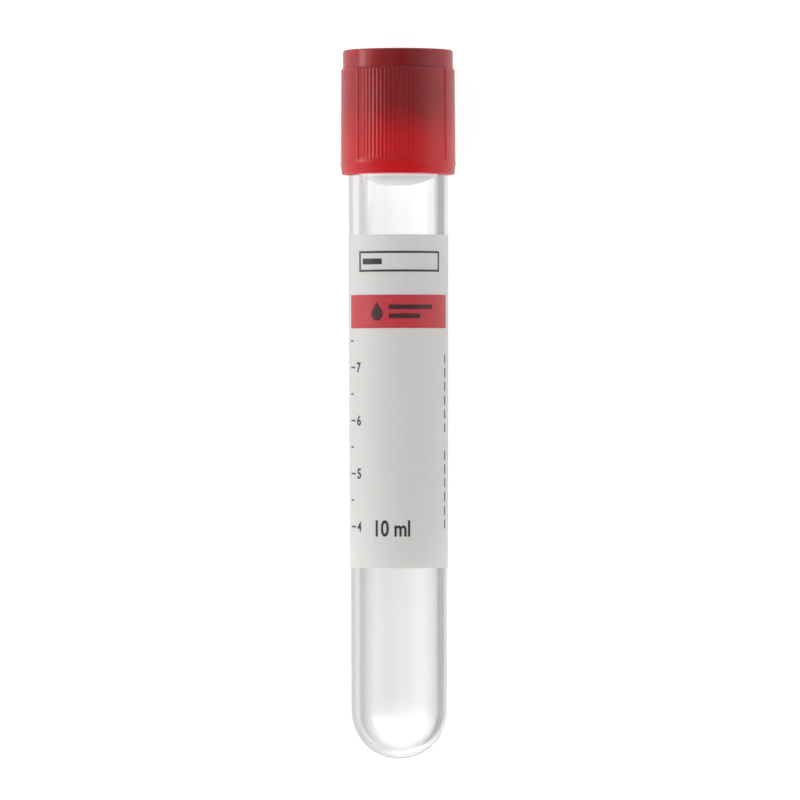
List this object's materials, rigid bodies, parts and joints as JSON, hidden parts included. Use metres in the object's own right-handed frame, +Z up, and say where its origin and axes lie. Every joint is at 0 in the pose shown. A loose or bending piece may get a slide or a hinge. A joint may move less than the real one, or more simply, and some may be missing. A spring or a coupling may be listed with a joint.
{
  "type": "blood collection tube",
  "caption": "Clear round-based evacuated tube with a rubber stopper, a ribbed red safety cap that pulls off with it, and a wrapped label.",
  "frame": {"origin": "on the surface it lies on, under the middle of its bounding box", "axes": "+Y along the tube from the round base to the cap, +Z up through the middle of the label, +X to the right of the label"},
  "size_m": [0.018, 0.1112, 0.0181],
  "materials": {
    "clear_tube": "clear moulded plastic, gloss",
    "grey_rubber": "smooth matt butyl rubber",
    "red_cap": "translucent moulded polypropylene, soft gloss",
    "label_film": "satin white label stock",
    "red_ink": "satin printed ink"
  },
  "bodies": {
    "tube_body": {"tube": "clear_tube", "label": "label_film", "label_band": "red_ink"},
    "stopper_body": {"stopper": "grey_rubber"},
    "cap_body": {"safety_cap": "red_cap"}
  },
  "joints": [
    {"name": "stopper_pull", "type": "slide", "parent": "tube_body", "child": "stopper_body", "axis": [0, 0.9999, 0.0172], "range_m": [0, 0.016]},
    {"name": "cap_twist", "type": "hinge", "parent": "stopper_body", "child": "cap_body", "pos_m": [0, 0.05542, 0.00931], "axis": [0, 0.9999, 0.0172], "continuous": true}
  ]
}
